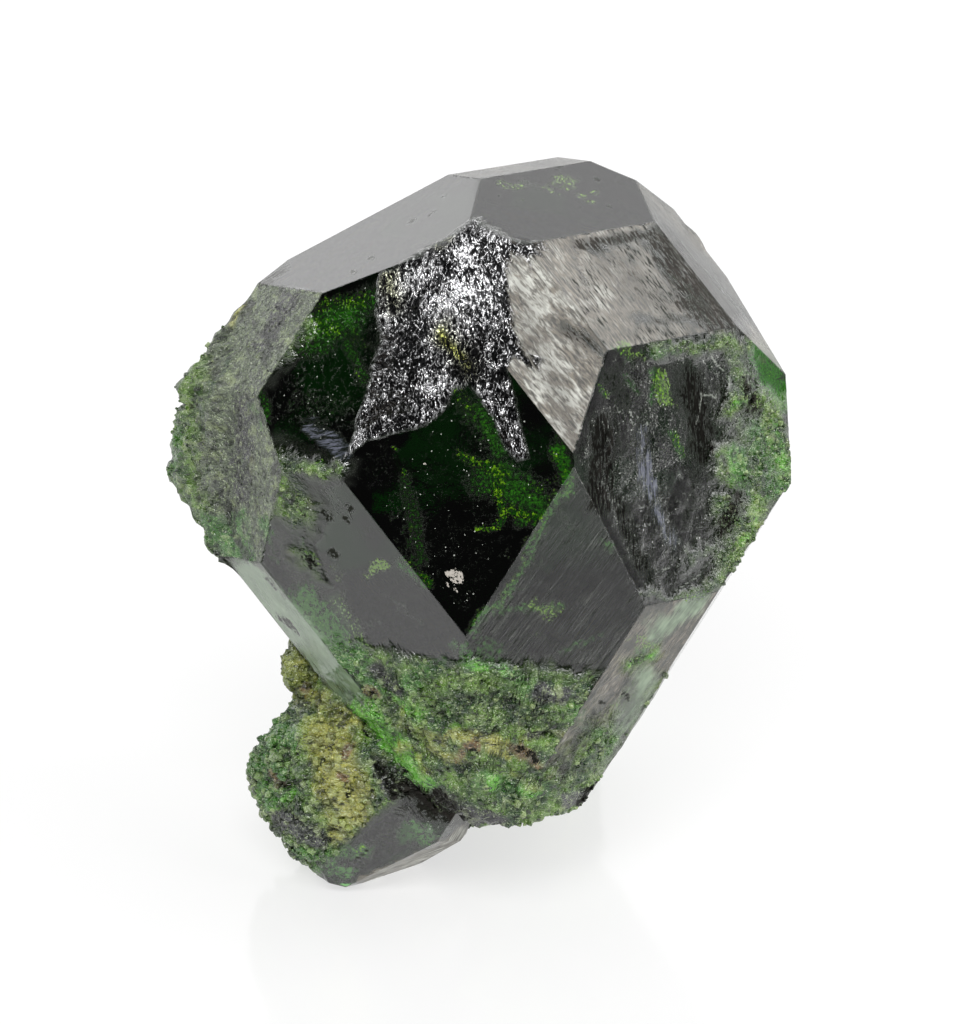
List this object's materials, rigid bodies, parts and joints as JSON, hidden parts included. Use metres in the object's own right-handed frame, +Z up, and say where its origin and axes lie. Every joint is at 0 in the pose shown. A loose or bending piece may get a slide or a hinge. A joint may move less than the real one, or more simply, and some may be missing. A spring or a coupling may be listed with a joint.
{
  "type": "demantoid garnet crystal specimen",
  "caption": "Dark green demantoid garnet crystal with flat rhombic and trapezoid faces, a smaller crystal and granular crust grown at its foot, broken off flat below.",
  "frame": {"origin": "centre of the bounding box's bottom, on the plane of the broken, flat foot", "axes": "+Z up from the flat foot; -Y is the pictured side; +X to the right in the picture"},
  "size_m": [0.0212, 0.02, 0.0238],
  "materials": {
    "garnet": "natural crystal faces, glossy to etched, with a rough granular crust at the foot"
  },
  "bodies": {
    "root": {"demantoid_garnet": "garnet"}
  },
  "joints": []
}
